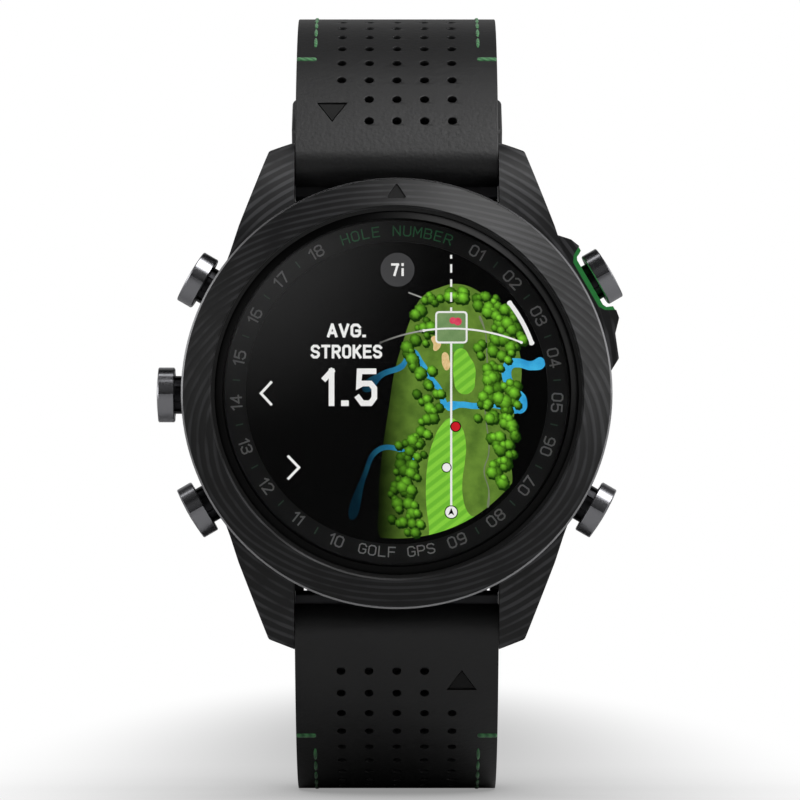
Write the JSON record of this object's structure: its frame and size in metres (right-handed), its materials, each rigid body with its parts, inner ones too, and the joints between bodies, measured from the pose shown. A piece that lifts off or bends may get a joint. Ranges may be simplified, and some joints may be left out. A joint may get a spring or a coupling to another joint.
{
  "type": "gps watch",
  "caption": "Round sports watch with a carbon bezel, side push buttons, a guarded start button and a perforated two-piece strap with a pin buckle.",
  "frame": {"origin": "centre of the sensor window's flat rear face, which rests on the wrist", "axes": "+Y out of the case back into the wrist, so the dial faces -Y; +Z to 12 o'clock; +X to 3 o'clock"},
  "size_m": [0.0501, 0.0631, 0.0862],
  "materials": {
    "bezel_carbon": "satin laminated carbon composite with fine wavy layers",
    "case_metal": "dark grey hard-coated titanium, satin",
    "button_metal": "dark hard-coated steel, satin",
    "collar_metal": "dark steel",
    "spring_steel": "bright steel",
    "green_anodised": "green anodised",
    "marker_inlay": "black inlay",
    "crystal_glass": "clear sapphire",
    "gasket_black": "black",
    "dial_black": "near-black printed ring",
    "display_black": "display panel",
    "inner_plastic": "grey moulded",
    "circuit_board": "green laminate",
    "shield_tin": "tinned shield",
    "battery_wrap": "foil pouch",
    "contact_gold": "gold-plated",
    "back_composite": "fibre-reinforced polymer",
    "sensor_glass": "dark glass",
    "seal_rubber": "soft",
    "strap_rubber": "matte silicone",
    "strap_leather": "black grained, perforated",
    "buckle_metal": "dark coated steel, satin"
  },
  "bodies": {
    "case": {"mid_case": "case_metal", "button_guard_liner": "green_anodised", "bezel": "bezel_carbon", "bezel_marker": "marker_inlay", "crystal": "crystal_glass", "crystal_gasket": "gasket_black", "back_cover": "back_composite", "back_screws": "spring_steel", "sensor_window": "sensor_glass", "charging_socket": "inner_plastic", "charging_contacts": "contact_gold", "lug_pins": "spring_steel", "button_collars": "collar_metal", "dial_ring": "dial_black", "display_panel": "display_black", "display_bracket": "shield_tin", "gps_antenna": "inner_plastic", "main_board": "circuit_board", "processor_shields": "shield_tin", "inner_chassis": "inner_plastic", "battery": "battery_wrap", "vibration_motor": "shield_tin", "sensor_board": "circuit_board", "back_gasket": "seal_rubber", "button_seals": "seal_rubber", "button_switches": "circuit_board", "start_button_spring": "spring_steel", "back_button_spring": "spring_steel", "light_button_spring": "spring_steel", "menu_button_spring": "spring_steel", "down_button_spring": "spring_steel"},
    "start_button": {"start_button": "button_metal", "start_button_clip": "collar_metal"},
    "back_button": {"back_button": "button_metal", "back_button_clip": "collar_metal"},
    "light_button": {"light_button": "button_metal", "light_button_clip": "collar_metal"},
    "menu_button": {"menu_button": "button_metal", "menu_button_clip": "collar_metal"},
    "down_button": {"down_button": "button_metal", "down_button_clip": "collar_metal"},
    "upper_strap": {"upper_strap_leather": "strap_leather", "upper_strap_base": "strap_rubber", "upper_end_fitting": "buckle_metal", "fixed_keeper": "strap_rubber", "buckle_bar": "buckle_metal"},
    "lower_strap": {"lower_strap_leather": "strap_leather", "lower_strap_base": "strap_rubber", "lower_end_fitting": "buckle_metal"},
    "upper_latch": {"upper_latch": "buckle_metal"},
    "lower_latch": {"lower_latch": "buckle_metal"},
    "sliding_keeper": {"sliding_keeper": "strap_rubber"},
    "buckle_frame": {"buckle_frame": "buckle_metal"},
    "buckle_tongue": {"buckle_tongue": "buckle_metal"}
  },
  "joints": [
    {"name": "start_button_press", "type": "slide", "parent": "case", "child": "start_button", "axis": [-0.866, 0, -0.5], "range_m": [0, 0.0006], "stiffness_N_per_m": 1500, "springref_m": -0.0006, "deforming": ["start_button_spring"]},
    {"name": "back_button_press", "type": "slide", "parent": "case", "child": "back_button", "axis": [-0.866, 0, 0.5], "range_m": [0, 0.0006], "stiffness_N_per_m": 1500, "springref_m": -0.0006, "deforming": ["back_button_spring"]},
    {"name": "light_button_press", "type": "slide", "parent": "case", "child": "light_button", "axis": [0.866, 0, -0.5], "range_m": [0, 0.0006], "stiffness_N_per_m": 1500, "springref_m": -0.0006, "deforming": ["light_button_spring"]},
    {"name": "menu_button_press", "type": "slide", "parent": "case", "child": "menu_button", "axis": [1, 0, 0], "range_m": [0, 0.0006], "stiffness_N_per_m": 1500, "springref_m": -0.0006, "deforming": ["menu_button_spring"]},
    {"name": "down_button_press", "type": "slide", "parent": "case", "child": "down_button", "axis": [0.866, 0, 0.5], "range_m": [0, 0.0006], "stiffness_N_per_m": 1500, "springref_m": -0.0006, "deforming": ["down_button_spring"]},
    {"name": "upper_strap_hinge", "type": "hinge", "parent": "case", "child": "upper_strap", "pos_m": [0, -0.0042, 0.025], "axis": [1, 0, 0], "range_deg": [-3, 55]},
    {"name": "lower_strap_hinge", "type": "hinge", "parent": "case", "child": "lower_strap", "pos_m": [0, -0.0042, -0.025], "axis": [-1, 0, 0], "range_deg": [-3, 55]},
    {"name": "upper_latch_slide", "type": "slide", "parent": "upper_strap", "child": "upper_latch", "axis": [0, -0.4493, -0.8934], "range_m": [0, 0.0012], "stiffness_N_per_m": 800, "springref_m": -0.0005},
    {"name": "lower_latch_slide", "type": "slide", "parent": "lower_strap", "child": "lower_latch", "axis": [0, -0.4493, 0.8934], "range_m": [0, 0.0012], "stiffness_N_per_m": 800, "springref_m": -0.0005},
    {"name": "sliding_keeper_travel", "type": "hinge", "parent": "upper_strap", "child": "sliding_keeper", "pos_m": [0, 0.01991, 0.0181], "axis": [1, 0, 0], "range_deg": [-5, 45]},
    {"name": "buckle_frame_hinge", "type": "hinge", "parent": "upper_strap", "child": "buckle_frame", "pos_m": [0, 0.04351, 0.017], "axis": [1, 0, 0], "range_deg": [-5, 45]},
    {"name": "buckle_tongue_hinge", "type": "hinge", "parent": "buckle_frame", "child": "buckle_tongue", "pos_m": [0, 0.04351, 0.017], "axis": [1, 0, 0], "range_deg": [0, 60]}
  ]
}
